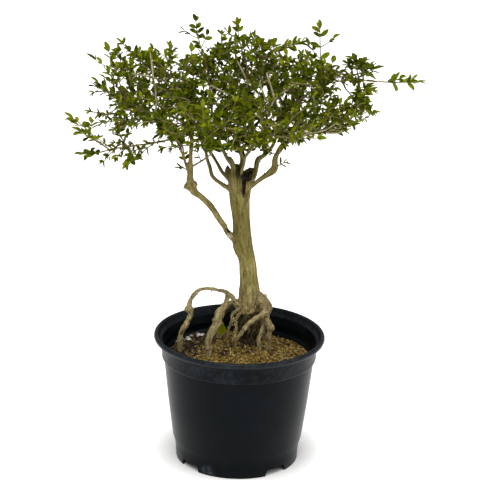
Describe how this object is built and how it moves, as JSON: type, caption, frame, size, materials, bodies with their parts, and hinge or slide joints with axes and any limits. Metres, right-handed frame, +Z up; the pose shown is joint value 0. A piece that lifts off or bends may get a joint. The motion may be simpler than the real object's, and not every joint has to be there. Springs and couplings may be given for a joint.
{
  "type": "serissa bonsai in a nursery pot",
  "caption": "Small serissa bonsai with exposed roots, a leaning trunk and a wide, open crown of tiny leaves, in a black plastic nursery pot.",
  "frame": {"origin": "middle of the pot's base, on the surface it stands on", "axes": "+Z up; -Y towards the viewer of the picture; the crown's longest reach lies along X"},
  "size_m": [0.3319, 0.2189, 0.4366],
  "materials": {
    "black_plastic": "satin black moulded plastic, a little dusty",
    "potting_mix": null,
    "bark": "pale grey-tan bark with a faint green film, finely furrowed",
    "leaf": "small, slightly glossy mid-green leaves"
  },
  "bodies": {
    "root": {"pot": "black_plastic", "soil": "potting_mix", "wood": "bark", "spray_01": "leaf", "spray_02": "leaf", "spray_03": "leaf", "spray_04": "leaf", "spray_05": "leaf", "spray_06": "leaf", "spray_07": "leaf", "spray_08": "leaf", "spray_09": "leaf", "spray_10": "leaf", "spray_11": "leaf", "spray_12": "leaf", "spray_13": "leaf", "spray_14": "leaf", "spray_15": "leaf", "spray_16": "leaf", "spray_17": "leaf", "spray_18": "leaf", "spray_19": "leaf", "spray_20": "leaf", "spray_21": "leaf", "spray_22": "leaf", "spray_23": "leaf", "spray_24": "leaf", "spray_25": "leaf", "spray_26": "leaf", "spray_27": "leaf", "spray_28": "leaf", "spray_29": "leaf", "spray_30": "leaf", "spray_31": "leaf", "spray_32": "leaf", "spray_33": "leaf", "spray_34": "leaf", "spray_35": "leaf", "spray_36": "leaf", "spray_37": "leaf", "spray_38": "leaf", "spray_39": "leaf", "spray_40": "leaf", "spray_41": "leaf", "spray_42": "leaf", "spray_43": "leaf", "spray_44": "leaf", "spray_45": "leaf", "spray_46": "leaf", "spray_47": "leaf", "root_shoot": "leaf"}
  },
  "joints": []
}
